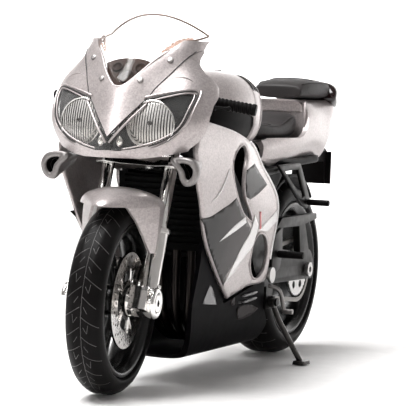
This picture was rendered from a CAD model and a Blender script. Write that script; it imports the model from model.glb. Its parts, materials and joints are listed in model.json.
import json
import math

import bmesh
import bpy
from mathutils import Matrix, Vector
from mathutils.bvhtree import BVHTree
from mathutils.geometry import delaunay_2d_cdt


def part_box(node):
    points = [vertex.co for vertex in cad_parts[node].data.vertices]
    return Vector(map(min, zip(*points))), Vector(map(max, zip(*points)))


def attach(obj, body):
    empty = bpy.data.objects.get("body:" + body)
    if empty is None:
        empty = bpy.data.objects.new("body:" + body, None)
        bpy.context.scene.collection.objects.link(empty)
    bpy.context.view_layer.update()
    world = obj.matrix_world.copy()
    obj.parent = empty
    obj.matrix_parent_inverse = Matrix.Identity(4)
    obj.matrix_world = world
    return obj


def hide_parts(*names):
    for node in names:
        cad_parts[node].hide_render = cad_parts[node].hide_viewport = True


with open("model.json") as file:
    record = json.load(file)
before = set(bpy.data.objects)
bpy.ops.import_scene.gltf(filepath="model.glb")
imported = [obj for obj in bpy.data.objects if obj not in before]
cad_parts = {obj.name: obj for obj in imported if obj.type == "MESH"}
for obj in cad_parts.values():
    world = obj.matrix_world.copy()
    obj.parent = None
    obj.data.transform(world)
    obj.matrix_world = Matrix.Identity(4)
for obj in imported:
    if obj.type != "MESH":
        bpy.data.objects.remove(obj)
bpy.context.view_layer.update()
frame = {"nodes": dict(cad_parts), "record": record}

NODES = frame["nodes"]
RECORD = frame["record"]
JOINTS = {joint["name"]: joint for joint in RECORD["behaviour"]["joints"]}
MM = 0.001


# ---------------------------------------------------------------- where things are

HEAD = JOINTS["steering_head"]
HEAD_AXIS = Vector(HEAD["axis"])
FRONT_CENTRE = Vector(JOINTS["front_wheel_spin"]["pos_m"]) / MM
REAR_CENTRE = Vector(JOINTS["rear_wheel_spin"]["pos_m"]) / MM
STEER_ANGLE = math.radians(-sum(HEAD["range_deg"]) / 2)
WHEEL_TURN = Matrix.Rotation(STEER_ANGLE, 4, HEAD_AXIS)
ORIGIN = Vector((0, 0, 0))
SIDES = ((1, "left"), (-1, "right"))


def around(count):
    """Equally spaced angles, once round."""
    return [2 * math.pi * k / count for k in range(count)]


# ---------------------------------------------------------------- camera, floor and light

CAMERA_AT = Vector((160.7, -394.36, 54.1))
CAMERA_TURN = (-0.3888, 0.0535, 0.03875)    # yaw, pitch and roll in radians
CAMERA_LENS = 201.3
# the studio is in metres, as (radius, height) from under the bike to the top of the wall
FLOOR_PROFILE = ((0.35, 0.0), (0.8, 0.0), (1.2, 0.02), (1.5, 0.12), (1.7, 0.35), (1.78, 0.8), (1.8, 1.6))
FLOOR_DROP = 0.0002


def axes_from(yaw, pitch, roll):
    look = Vector((math.sin(yaw) * math.cos(pitch), math.cos(yaw) * math.cos(pitch), -math.sin(pitch)))
    side = look.cross(Vector((0, 0, 1))).normalized()
    up = side.cross(look)
    turned_side = side * math.cos(roll) + up * math.sin(roll)
    turned_up = up * math.cos(roll) - side * math.sin(roll)
    return turned_side, turned_up, -look


def camera():
    data = bpy.data.cameras.new("camera")
    data.sensor_width = 36.0
    data.lens = CAMERA_LENS
    data.clip_start = 0.01
    obj = bpy.data.objects.new("camera", data)
    bpy.context.collection.objects.link(obj)
    side, up, back = axes_from(*CAMERA_TURN)
    turn = Matrix((side, up, back)).transposed().to_4x4()
    obj.matrix_world = Matrix.Translation(CAMERA_AT * MM) @ turn
    bpy.context.scene.camera = obj


def area_light(name, location, target, width, height, power):
    data = bpy.data.lights.new(name, "AREA")
    data.shape = "RECTANGLE"
    data.size, data.size_y = width, height
    data.energy = power
    obj = bpy.data.objects.new(name, data)
    bpy.context.collection.objects.link(obj)
    obj.location = location
    aim = Vector(target) - Vector(location)
    obj.rotation_euler = aim.to_track_quat("-Z", "Y").to_euler()
    return obj


def sweep_floor():
    """Pale paper that lies under the bike and curves up into a wall on every side."""
    sides = 72
    verts = [(0, 0, -FLOOR_DROP)]
    for radius, height in FLOOR_PROFILE:
        verts += [(radius * math.cos(a), radius * math.sin(a), height - FLOOR_DROP) for a in around(sides)]
    faces = [(0, 1 + k, 1 + (k + 1) % sides) for k in range(sides)]
    for ring in range(len(FLOOR_PROFILE) - 1):
        low, high = 1 + ring * sides, 1 + (ring + 1) * sides
        for k in range(sides):
            n = (k + 1) % sides
            faces.append((low + k, high + k, high + n, low + n))
    mesh = bpy.data.meshes.new("studio_floor")
    mesh.from_pydata(verts, [], faces)
    for polygon in mesh.polygons:
        polygon.use_smooth = True
    floor = bpy.data.objects.new("studio_floor", mesh)
    bpy.context.collection.objects.link(floor)
    mesh.materials.append(plastic("floor_paper", (0.83, 0.82, 0.815), 0.7, 900, 0.03))


def studio():
    world = bpy.data.worlds.new("studio")
    world.use_nodes = True
    back = world.node_tree.nodes["Background"]
    back.inputs["Color"].default_value = (1.0, 0.985, 0.975, 1)
    back.inputs["Strength"].default_value = 0.15
    bpy.context.scene.world = world
    bpy.context.scene.view_settings.view_transform = "Standard"
    sweep_floor()
    area_light("key_top", (-0.12, -0.10, 0.50), (0, 0, 0.03), 0.34, 0.34, 4.9)
    area_light("front_strip", (-0.16, -0.42, 0.58), (0, 0, 0.04), 0.16, 0.45, 1.6)
    wash = area_light("floor_wash", (0.0, 0.5, 0.9), (0, 1.0, 0), 1.6, 0.4, 11.0)
    wash.data.spread = math.radians(85)
    area_light("rear_wall", (0.0, 1.1, 0.55), (0, 1.8, 0.3), 1.2, 0.5, 7.6)
    area_light("rear_wall_left", (-0.6, 1.0, 0.5), (-1.0, 1.6, 0.2), 1.0, 0.5, 6.0)


# ---------------------------------------------------------------- materials

def shader(name):
    material = bpy.data.materials.new(name)
    material.use_nodes = True
    tree = material.node_tree
    return material, tree, tree.nodes["Principled BSDF"]


def add(tree, kind, **settings):
    node = tree.nodes.new(kind)
    for key, value in settings.items():
        if key in node.inputs:
            node.inputs[key].default_value = value
        else:
            setattr(node, key, value)
    return node


def textured(tree, kind, **settings):
    """Texture that reads the object's own coordinates."""
    node = add(tree, kind, **settings)
    tree.links.new(add(tree, "ShaderNodeTexCoord").outputs["Object"], node.inputs["Vector"])
    return node


def two_tone(tree, source, low_at, low, high_at, high):
    """Colour ramp from low to high, driven by a socket."""
    ramp = add(tree, "ShaderNodeValToRGB")
    for stop, place, colour in zip(ramp.color_ramp.elements, (low_at, high_at), (low, high)):
        stop.position = place
        stop.color = colour
    tree.links.new(source, ramp.inputs["Fac"])
    return ramp


def ranged(tree, source, low, high):
    """A value from 0 to 1 stretched to run from low to high."""
    node = add(tree, "ShaderNodeMapRange")
    node.inputs["To Min"].default_value = low
    node.inputs["To Max"].default_value = high
    tree.links.new(source, node.inputs["Value"])
    return node


def shaded(colour, factor):
    return tuple(min(1.0, c * factor) for c in colour[:3]) + (1,)


def mottled(tree, bsdf, colour, spread, scale):
    """Base colour that drifts by spread either side of colour."""
    noise = textured(tree, "ShaderNodeTexNoise", Scale=scale, Detail=4.0)
    dark, light = shaded(colour, 1 - spread), shaded(colour, 1 + spread)
    ramp = two_tone(tree, noise.outputs["Fac"], 0.3, dark, 0.7, light)
    tree.links.new(ramp.outputs["Color"], bsdf.inputs["Base Color"])


def roughened(tree, bsdf, low, high, scale):
    noise = textured(tree, "ShaderNodeTexNoise", Scale=scale, Detail=5.0)
    rough = ranged(tree, noise.outputs["Fac"], low, high)
    tree.links.new(rough.outputs["Result"], bsdf.inputs["Roughness"])


def bumped(tree, bsdf, height_socket, distance, strength=0.5):
    bump = add(tree, "ShaderNodeBump", Distance=distance, Strength=strength)
    tree.links.new(height_socket, bump.inputs["Height"])
    tree.links.new(bump.outputs["Normal"], bsdf.inputs["Normal"])


def plastic(name, colour, roughness, grain_scale, spread=0.08, grain=0.00002, coat=0.0, gloss=0.4):
    material, tree, bsdf = shader(name)
    bsdf.inputs["Specular IOR Level"].default_value = gloss
    bsdf.inputs["IOR"].default_value = 1.14 if gloss < 0.15 else 1.2 if gloss < 0.3 else 1.45
    mottled(tree, bsdf, colour, spread, 260)
    roughened(tree, bsdf, roughness * 0.8, min(1.0, roughness * 1.2), 500)
    bsdf.inputs["Coat Weight"].default_value = coat
    bsdf.inputs["Coat Roughness"].default_value = 0.08
    noise = textured(tree, "ShaderNodeTexNoise", Scale=grain_scale, Detail=3.0)
    bumped(tree, bsdf, noise.outputs["Fac"], grain)
    return material


def metal(name, colour, roughness, spread=0.08, brushed=0.0, grain=0.000012):
    material, tree, bsdf = shader(name)
    bsdf.inputs["Metallic"].default_value = 1.0
    mottled(tree, bsdf, colour, spread, 220)
    roughened(tree, bsdf, roughness * 0.7, min(1.0, roughness * 1.3), 650)
    bsdf.inputs["Anisotropic"].default_value = brushed
    noise = textured(tree, "ShaderNodeTexNoise", Scale=2600.0, Detail=2.0)
    bumped(tree, bsdf, noise.outputs["Fac"], grain, 0.3)
    return material


def flakes(tree, scale, colour, flake):
    """Cells about a quarter of a millimetre across, each a little lighter or darker than the paint."""
    cells = textured(tree, "ShaderNodeTexVoronoi", Scale=scale)
    grey = add(tree, "ShaderNodeRGBToBW")
    tree.links.new(cells.outputs["Color"], grey.inputs["Color"])
    dark, light = shaded(colour, 1 - flake), shaded(colour, 1 + flake)
    ramp = two_tone(tree, grey.outputs["Val"], 0.15, dark, 0.85, light)
    return grey, ramp


def flake_paint(name, colour, flake=0.14, scale=4200.0, metallic=0.6, roughness=0.34, coat=0.25):
    """Metallic lacquer: fine flake under a clear coat."""
    material, tree, bsdf = shader(name)
    grey, ramp = flakes(tree, scale, colour, flake)
    tree.links.new(ramp.outputs["Color"], bsdf.inputs["Base Color"])
    bsdf.inputs["Metallic"].default_value = metallic
    roughened(tree, bsdf, roughness * 0.85, roughness * 1.15, 300)
    bsdf.inputs["Coat Weight"].default_value = coat
    bsdf.inputs["Coat Roughness"].default_value = 0.05
    bumped(tree, bsdf, grey.outputs["Val"], 0.00001, 0.35)
    return material


def faded_paint(name, dark, light, start_y, end_y):
    """Flake paint that fades along the bike from one tone to another, as a printed fade does."""
    material, tree, bsdf = shader(name)
    grey, ramp = flakes(tree, 4200.0, (1, 1, 1), 0.12)
    split = textured(tree, "ShaderNodeSeparateXYZ")
    along = add(tree, "ShaderNodeMapRange")
    along.inputs["From Min"].default_value = start_y * MM
    along.inputs["From Max"].default_value = end_y * MM
    tree.links.new(split.outputs["Y"], along.inputs["Value"])
    tone = two_tone(tree, along.outputs["Result"], 0.0, dark + (1,), 1.0, light + (1,))
    mixed = add(tree, "ShaderNodeMix", data_type="RGBA", blend_type="MULTIPLY")
    mixed.inputs["Factor"].default_value = 1.0
    tree.links.new(tone.outputs["Color"], mixed.inputs[6])
    tree.links.new(ramp.outputs["Color"], mixed.inputs[7])
    tree.links.new(mixed.outputs[2], bsdf.inputs["Base Color"])
    bsdf.inputs["Metallic"].default_value = 0.15
    roughened(tree, bsdf, 0.30, 0.42, 300)
    bsdf.inputs["IOR"].default_value = 1.22
    bsdf.inputs["Coat Roughness"].default_value = 0.05
    bumped(tree, bsdf, grey.outputs["Val"], 0.00001, 0.3)
    return material


def clear(name, colour, mirror):
    """Thin clear plastic: it lets light straight through and keeps a faint reflection."""
    material, tree, bsdf = shader(name)
    mottled(tree, bsdf, (0.9, 0.9, 0.9), 0.02, 120)
    roughened(tree, bsdf, 0.02, 0.06, 400)
    through = add(tree, "ShaderNodeBsdfTransparent")
    through.inputs["Color"].default_value = colour + (1,)
    edge = add(tree, "ShaderNodeLayerWeight", Blend=0.25)
    share = ranged(tree, edge.outputs["Facing"], mirror * 0.35, mirror * 2.2)
    mix = add(tree, "ShaderNodeMixShader")
    tree.links.new(share.outputs["Result"], mix.inputs[0])
    tree.links.new(through.outputs["BSDF"], mix.inputs[1])
    tree.links.new(bsdf.outputs["BSDF"], mix.inputs[2])
    bsdf.inputs["Metallic"].default_value = 0.6
    tree.links.new(mix.outputs["Shader"], tree.nodes["Material Output"].inputs["Surface"])
    return material


FLUTE_PITCH = 0.47
WAVES_PER_UNIT = 20 / (2 * math.pi)     # bands that a wave texture of scale 1 draws in one unit of length


def fluted(name):
    """Lamp glass moulded in upright flutes, light ridge beside dark valley."""
    material, tree, bsdf = shader(name)
    scale = 1 / (WAVES_PER_UNIT * FLUTE_PITCH * MM)
    wave = textured(tree, "ShaderNodeTexWave", Scale=scale, Distortion=0.0)
    ramp = two_tone(tree, wave.outputs["Fac"], 0.3, (0.03, 0.028, 0.026, 1), 0.62, (0.72, 0.70, 0.68, 1))
    tree.links.new(ramp.outputs["Color"], bsdf.inputs["Base Color"])
    bsdf.inputs["Metallic"].default_value = 0.5
    roughened(tree, bsdf, 0.15, 0.35, 500)
    bumped(tree, bsdf, wave.outputs["Fac"], 0.00006, 0.8)
    return material


def vinyl(name, colour):
    """Fine-grained seat cover: shallow cells between soft creases."""
    material, tree, bsdf = shader(name)
    mottled(tree, bsdf, colour, 0.2, 180)
    roughened(tree, bsdf, 0.42, 0.62, 400)
    bsdf.inputs["Specular IOR Level"].default_value = 0.25
    bsdf.inputs["Sheen Weight"].default_value = 0.05
    cells = textured(tree, "ShaderNodeTexVoronoi", Scale=2200.0, feature="DISTANCE_TO_EDGE")
    bumped(tree, bsdf, cells.outputs["Distance"], 0.00006, 0.5)
    return material


def make_materials():
    silver = (0.425, 0.383, 0.378)
    return {
        "tyre": plastic("tyre_rubber", (0.006, 0.0055, 0.0055), 0.38, 1500, 0.15, 0.00002, gloss=0.22),
        "dark_wheel": plastic("wheel_paint", (0.006, 0.006, 0.006), 0.25, 900, 0.1, coat=0.1, gloss=0.3),
        "disc_metal": metal("disc_steel", (0.80, 0.78, 0.76), 0.12, grain=0.00008),
        "steel": metal("plain_steel", (0.5, 0.49, 0.48), 0.32),
        "chain_steel": metal("chain_steel", (0.2, 0.19, 0.18), 0.45),
        "chrome": metal("chrome_plate", (0.84, 0.83, 0.81), 0.06, spread=0.03),
        "fork_metal": metal("fork_bright", (0.78, 0.76, 0.74), 0.1, spread=0.05, brushed=0.3),
        "caliper_metal": metal("caliper_cast", (0.70, 0.68, 0.66), 0.14, grain=0.00004),
        "silver_paint": flake_paint("silver_flake", silver),
        "cast_grey": metal("cast_grey", (0.20, 0.19, 0.185), 0.38),
        "satin_black_metal": plastic("satin_black", (0.006, 0.0055, 0.0055), 0.34, 1200, 0.1, coat=0.05,
                                     gloss=0.25),
        "grip_rubber": plastic("grip_rubber", (0.005, 0.0045, 0.0045), 0.45, 1800, 0.1, gloss=0.2),
        "black_plastic": plastic("black_plastic", (0.005, 0.0045, 0.0045), 0.42, 1600, 0.12, gloss=0.2),
        "clear_lens": clear("lens_clear", (0.97, 0.965, 0.955), 0.14),
        "reflector": metal("reflector_bowl", (0.82, 0.81, 0.79), 0.16, spread=0.04),
        "clear_screen": clear("screen_clear", (0.985, 0.98, 0.975), 0.05),
        "brown_gloss": plastic("brown_gloss", (0.028, 0.011, 0.006), 0.3, 900, 0.15, gloss=0.28),
        "black_gloss": plastic("black_gloss", (0.003, 0.0026, 0.0032), 0.4, 900, 0.12, coat=0.0, gloss=0.1),
        "seat_vinyl": vinyl("seat_vinyl", (0.020, 0.017, 0.017)),
        "red_lens": plastic("red_lens", (0.10, 0.01, 0.01), 0.15, 900, 0.1, coat=0.7),
        "grey_frame": metal("frame_grey", (0.016, 0.015, 0.0145), 0.45),
        "engine_grey": plastic("engine_grey", (0.007, 0.0065, 0.0065), 0.4, 900, 0.12, gloss=0.2),
        "engine_cover": metal("cover_alloy", (0.16, 0.155, 0.15), 0.35),
        "radiator_black": plastic("radiator_black", (0.005, 0.005, 0.005), 0.5, 900, 0.1, gloss=0.2),
        "header_steel": metal("header_steel", (0.035, 0.030, 0.028), 0.35, spread=0.2),
        "muffler_metal": metal("muffler_can", (0.5, 0.49, 0.48), 0.25, brushed=0.5),
        "spring_steel": metal("spring_steel", (0.45, 0.44, 0.43), 0.35),
        "stand_black": metal("stand_black", (0.05, 0.047, 0.045), 0.35),
        # surfaces that only the detail pieces wear
        "flutes": fluted("lamp_flutes"),
        "sipe": plastic("sipe_edge", (0.060, 0.056, 0.055), 0.35, 900, 0.5, gloss=0.5),
        "seam": plastic("seam_dark", (0.03, 0.027, 0.026), 0.5, 900, 0.2),
        "screen_edge": plastic("screen_edge", (0.20, 0.14, 0.11), 0.3, 900, 0.3),
        "tail_gloss": plastic("tail_gloss", (0.012, 0.006, 0.006), 0.12, 900, 0.2, coat=0.6),
        "flange": clear("screen_flange", (0.58, 0.47, 0.42), 0.3),
        "intake_face": flake_paint("intake_grey", (0.21, 0.195, 0.19), 0.1, 4200.0, 0.5, 0.33, 0.4),
        "dial": plastic("dial_brown", (0.022, 0.011, 0.007), 0.35, 900, 0.2, gloss=0.25),
        "bright_print": flake_paint("bright_print", (0.82, 0.80, 0.79), 0.05, 4200.0, 0.1, 0.3, 0.4),
        "dark_print": plastic("dark_print", (0.022, 0.019, 0.018), 0.25, 900, 0.1, coat=0.5),
        "grey_print": plastic("grey_print", (0.020, 0.0155, 0.0155), 0.38, 4200, 0.15, gloss=0.2),
        "red_print": plastic("red_print", (0.55, 0.12, 0.12), 0.3, 900, 0.1, coat=0.5),
        "fade_print": faded_paint("fade_print", (0.006, 0.0045, 0.0045), (0.11, 0.097, 0.095), -26.0, -2.0),
        "dark_fade": faded_paint("dark_fade", (0.018, 0.016, 0.016), (0.04, 0.036, 0.035), -15.0, 0.0),
        "belly_print": flake_paint("belly_print", (0.07, 0.067, 0.07), 0.15, 4200.0, 0.3, 0.35, 0.5),
    }


def paint_nodes():
    for entry in RECORD["subparts"]:
        obj = NODES[entry["node"]]
        obj.data.materials.clear()
        obj.data.materials.append(MATERIALS[entry["material_slot"]])


# ---------------------------------------------------------------- mesh building

def piece(name, verts, faces, slot, body, node=None, smooth=True, look=None, turn=None):
    """Mesh piece from millimetre points, with its finish, its body and the CAD node it stands for."""
    mesh = bpy.data.meshes.new(name)
    moved = [turn @ Vector(v) for v in verts] if turn else [Vector(v) for v in verts]
    mesh.from_pydata([v * MM for v in moved], [], faces)
    mesh.validate()
    for polygon in mesh.polygons:
        polygon.use_smooth = smooth
    obj = bpy.data.objects.new(name, mesh)
    bpy.context.collection.objects.link(obj)
    mesh.materials.append(MATERIALS[look or slot])
    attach(obj, body)
    if node:
        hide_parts(*([node] if isinstance(node, str) else node))
    return obj


def tidy_normals(obj):
    bm = bmesh.new()
    bm.from_mesh(obj.data)
    bmesh.ops.recalc_face_normals(bm, faces=bm.faces)
    bm.to_mesh(obj.data)
    bm.free()
    return obj


def applied(obj):
    """Bake the modifiers into the mesh."""
    bpy.context.view_layer.update()
    shown = obj.evaluated_get(bpy.context.evaluated_depsgraph_get())
    mesh = bpy.data.meshes.new_from_object(shown)
    obj.modifiers.clear()
    old = obj.data
    obj.data = mesh
    mesh.name = old.name
    return obj


def refinished(obj, look):
    """One finish and smooth shading all over a copied mesh."""
    obj.data.materials.clear()
    obj.data.materials.append(MATERIALS[look])
    for polygon in obj.data.polygons:
        polygon.use_smooth = True


def hermite(xs, ys, x):
    """Smooth curve through the points (xs, ys), xs rising."""
    n = len(xs)
    x = min(max(x, xs[0]), xs[-1])
    i = max(0, min(n - 2, next((k for k in range(n - 1) if x <= xs[k + 1]), n - 2)))

    def slope(k):
        if k == 0:
            return (ys[1] - ys[0]) / (xs[1] - xs[0])
        if k == n - 1:
            return (ys[-1] - ys[-2]) / (xs[-1] - xs[-2])
        return (ys[k + 1] - ys[k - 1]) / (xs[k + 1] - xs[k - 1])

    h = xs[i + 1] - xs[i]
    t = (x - xs[i]) / h
    a, b = slope(i) * h, slope(i + 1) * h
    return ((2 * t**3 - 3 * t**2 + 1) * ys[i] + (t**3 - 2 * t**2 + t) * a
            + (3 * t**2 - 2 * t**3) * ys[i + 1] + (t**3 - t**2) * b)


def curve(points, per=6, closed=False, corners=()):
    """Catmull-Rom line through the points; it breaks at the numbered corners."""
    n = len(points)
    out = []
    spans = n if closed else n - 1
    dims = len(points[0])
    for i in range(spans):
        p1, p2 = points[i], points[(i + 1) % n]
        p0 = points[(i - 1) % n] if closed or i > 0 else p1
        p3 = points[(i + 2) % n] if closed or i + 2 < n else p2
        if i in corners:
            p0 = p1
        if (i + 1) % n in corners:
            p3 = p2
        for k in range(per):
            t = k / per
            out.append(tuple(
                0.5 * (2 * p1[d] + (p2[d] - p0[d]) * t + (2 * p0[d] - 5 * p1[d] + 4 * p2[d] - p3[d]) * t * t
                       + (3 * p1[d] - p0[d] - 3 * p2[d] + p3[d]) * t**3) for d in range(dims)))
    if not closed:
        out.append(tuple(points[-1]))
    return out


def inside(point, loop):
    x, y = point
    hit = False
    for (x0, y0), (x1, y1) in zip(loop, loop[1:] + loop[:1]):
        if (y0 > y) != (y1 > y) and x < (x1 - x0) * (y - y0) / (y1 - y0) + x0:
            hit = not hit
    return hit


def filled(outline, holes=(), step=0.8):
    """Flat triangulation of an outline with holes, with points inside it every step."""
    points, edges = [], []
    for loop in (outline,) + tuple(holes):
        start = len(points)
        points += [Vector(p) for p in loop]
        edges += [(start + k, start + (k + 1) % len(loop)) for k in range(len(loop))]
    on_loops = len(points)
    us, vs = [p[0] for p in outline], [p[1] for p in outline]
    margin = step * 0.35
    u = min(us) + step / 2
    while u < max(us):
        v = min(vs) + step / 2
        while v < max(vs):
            if inside((u, v), outline) and not any(inside((u, v), h) for h in holes):
                near = min((Vector((u, v)) - p).length for p in points[:on_loops])
                if near > margin:
                    points.append(Vector((u, v)))
            v += step
        u += step
    out = delaunay_2d_cdt(points, edges, [], 0, 1e-5)
    verts, faces = out[0], out[2]
    kept = []
    for face in faces:
        c = sum((verts[i] for i in face), Vector((0, 0))) / len(face)
        if inside(c, outline) and not any(inside(c, h) for h in holes):
            kept.append(tuple(face))
    return verts, kept


def two_sided(faces, count):
    """Faces of a plate: the top, its copy count points on, and the wall between their edges."""
    used = {edge: True for f in faces for edge in zip(f, f[1:] + f[:1])}
    rim_edges = [(a, b) for a, b in used if (b, a) not in used]
    wall = [(b, a, count + a, count + b) for a, b in rim_edges]
    return list(faces) + [tuple(count + i for i in reversed(f)) for f in faces] + wall, rim_edges


def skin(name, outline, holes, surface, thickness, slot, body, node=None, step=0.8, look=None,
         round_edge=0.0):
    """Thin panel that follows surface(u, v, depth) inside an outline."""
    flat, faces = filled(outline, holes, step)
    used = sorted({i for f in faces for i in f})
    index = {old: new for new, old in enumerate(used)}
    flat = [flat[i] for i in used]
    faces = [tuple(index[i] for i in f) for f in faces]
    top = [surface(p[0], p[1], 0.0) for p in flat]
    low = [surface(p[0], p[1], thickness) for p in flat]
    all_faces, rim_edges = two_sided(faces, len(top))
    if round_edge:
        for i in {i for edge in rim_edges for i in edge}:
            top[i] = surface(flat[i][0], flat[i][1], round_edge)
    return tidy_normals(piece(name, top + low, all_faces, slot, body, node, look=look))


def lofted(rings, looped=False):
    """Skin over rings with equal numbers of points; looped joins the last to the first, with no caps."""
    count, sides = len(rings), len(rings[0])
    faces = []
    for i in range(count if looped else count - 1):
        low, high = i * sides, (i + 1) % count * sides
        for k in range(sides):
            n = (k + 1) % sides
            faces.append((low + k, low + n, high + n, high + k))
    if not looped:
        faces += [tuple(reversed(range(sides))), tuple(range((count - 1) * sides, count * sides))]
    return [v for ring in rings for v in ring], faces


def signed_power(value, power):
    """Power of a value's size, with its sign kept: it squares up a circle."""
    return math.copysign(abs(value) ** power, value)


def swelling(count, ends, rise):
    """Widths that grow from the ends to the middle."""
    return [ends + rise * math.sin(math.pi * k / (count - 1)) for k in range(count)]


def sweep_tube(path, radius, sides=10, closed=False):
    """Round bar along a path; radius may change from point to point."""
    pts = [Vector(p) for p in path]
    n = len(pts)
    rings = []
    up = Vector((0.13, 0.21, 0.97))
    for i, p in enumerate(pts):
        ahead = pts[(i + 1) % n] if closed or i + 1 < n else p
        behind = pts[(i - 1) % n] if closed or i > 0 else p
        t = (ahead - behind).normalized()
        a = (up - t * up.dot(t)).normalized()
        b = t.cross(a)
        up = a
        r = radius[i] if isinstance(radius, (list, tuple)) else radius
        rings.append([p + a * (r * math.cos(w)) + b * (r * math.sin(w)) for w in around(sides)])
    return lofted(rings, closed)


def bar(name, path, radius, slot, body, closed=False, look=None, sides=8):
    verts, faces = sweep_tube(path, radius, sides, closed)
    return tidy_normals(piece(name, verts, faces, slot, body, look=look))


def joined(parts):
    """One vertex and face list out of several."""
    verts, faces = [], []
    for v, f in parts:
        start = len(verts)
        verts += list(v)
        faces += [tuple(start + i for i in face) for face in f]
    return verts, faces


def mirrored(part):
    verts, faces = part
    return [Vector((-v[0], v[1], v[2])) for v in map(Vector, verts)], [tuple(reversed(f)) for f in faces]


def lathe(profile, centre, sides):
    """Closed profile of (x, radius) turned about an axle parallel to X."""
    rings = []
    for a in around(sides):
        c, s = math.cos(a), math.sin(a)
        rings.append([Vector((centre.x + x, centre.y + r * c, centre.z + r * s)) for x, r in profile])
    return lofted(rings, looped=True)


def doubled(profile):
    """Right half of a profile followed by its left half."""
    return profile + [(-x, r) for x, r in reversed(profile) if x]


# ---------------------------------------------------------------- surfaces of the bodywork

FLANK_Z = [13.8, 19.0, 24.0, 30.0, 35.0, 40.0, 44.0, 48.2]
FLANK_X = [9.5, 10.6, 11.6, 12.4, 12.9, 13.15, 13.0, 12.3]
DRAW_IN = [0.0, 0.0, 0.0, 0.3, 1.2, 2.4, 3.0, 3.2]
BELLY_Z = [4.0, 4.15, 5.0, 7.2, 11.0, 15.0, 20.0, 26.0]
BELLY_X = [0.0, 2.8, 5.6, 7.3, 8.45, 9.0, 10.0, 10.95]


def flank_x(y, z):
    t = min(1.0, max(0.0, (y + 20) / 27))
    return hermite(FLANK_Z, FLANK_X, z) - hermite(FLANK_Z, DRAW_IN, z) * t * t * (3 - 2 * t)


def flank(side, lift=0.0):
    def surface(y, z, depth):
        return Vector((side * (flank_x(y, z) + lift - depth), y, z))
    return surface


def belly(side, lift=0.0):
    def surface(y, z, depth):
        return Vector((side * (hermite(BELLY_Z, BELLY_X, z) + lift - depth), y, z))
    return surface


NOSE = {
    40.6: [(0, -45.9), (3.8, -44.6), (7.0, -42.9), (10.0, -40.4), (11.8, -37.0), (12.2, -30)],
    45.0: [(0, -45.7), (5.0, -44.6), (10.0, -42.3), (13.4, -39.2), (14.3, -36.0), (14.2, -30)],
    50.0: [(0, -43.6), (5.0, -42.5), (9.0, -41.5), (12.8, -39.5), (14.8, -36.4), (14.6, -30)],
    55.0: [(0, -41.2), (5.0, -39.9), (8.0, -38.2), (11.2, -36.5), (13.0, -34.3), (13.0, -30)],
    58.0: [(0, -38.8), (4.5, -37.8), (8.0, -36.2), (10.0, -34.6), (10.9, -32.5), (11.3, -28)],
    61.0: [(0, -35.8), (4.0, -35.0), (7.0, -34.0), (9.0, -32.8), (10.4, -31.0), (11.0, -27)],
}


def nose_y(x, z):
    levels = sorted(NOSE)
    row = [hermite([p[0] for p in NOSE[k][:5]], [p[1] for p in NOSE[k][:5]], abs(x)) for k in levels]
    return hermite(levels, row, z)


def on_nose(x, z, lift=0.0):
    return Vector((x, nose_y(x, z) - lift, z))


LAMP = [(0, 41.9), (2.2, 41.8), (4.8, 42.3), (7.8, 43.2), (10.3, 44.7), (11.9, 46.6), (12.6, 48.8),
        (13.0, 51.6), (12.0, 52.3), (8.3, 51.5), (5.0, 50.5), (2.5, 47.1), (0, 44.1)]
V_OUTER = [(0, 44.2), (5.2, 50.7), (6.3, 52.6), (8.0, 55.3), (9.4, 57.6), (10.3, 59.1), (11.7, 62)]


# ---------------------------------------------------------------- wheels

BEAD = 12.75        # radius at which both tyres sit on their rims


def tread_lines(tread, half, wall_rings):
    """Sipes slanting across the tread, a line round the crown, and raised rings on the walls."""
    def on_tread(across, angle):
        x = abs(across) * half
        r = tread[0][1]
        for (x0, r0), (x1, r1) in zip(tread, tread[1:]):
            if x1 <= x <= x0:
                r = r0 + (r1 - r0) * (x - x0) / ((x1 - x0) or 1)
                break
        r -= 0.03
        return Vector((math.copysign(x, across), r * math.cos(angle), r * math.sin(angle)))

    def sipe(side, across, angles, count, radius):
        path = []
        for j in range(count):
            t = j / (count - 1)
            path.append(on_tread(side * (across[0] + (across[1] - across[0]) * t),
                                 angles[0] + (angles[1] - angles[0]) * t))
        return sweep_tube(path, radius, 6)

    blocks = 30
    lines = []
    for k in range(blocks):
        for side in (1, -1):
            start = 2 * math.pi * (k + (0.5 if side > 0 else 0.0)) / blocks
            reach = 0.84 if k % 2 else 0.70
            lines.append(sipe(side, (0.05, 0.05 + reach), (start, start + 0.115), 10, 0.065))
            lines.append(sipe(side, (0.16, 0.36), (start + 0.105, start + 0.169), 5, 0.06))
            if k % 2:
                lines.append(sipe(side, (0.36, 0.42), (start + 0.169, start + 0.079), 4, 0.06))
    crown_line = [on_tread(0.03 + 0.02 * (k % 2), angle) for k, angle in enumerate(around(120))]
    lines.append(sweep_tube(crown_line, 0.07, 6, True))
    for side in (1, -1):
        for r, x, size in wall_rings:
            ring = [Vector((side * x, r * math.cos(a), r * math.sin(a))) for a in around(120)]
            lines.append(sweep_tube(ring, size, 6, True))
    return joined(lines)


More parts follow.
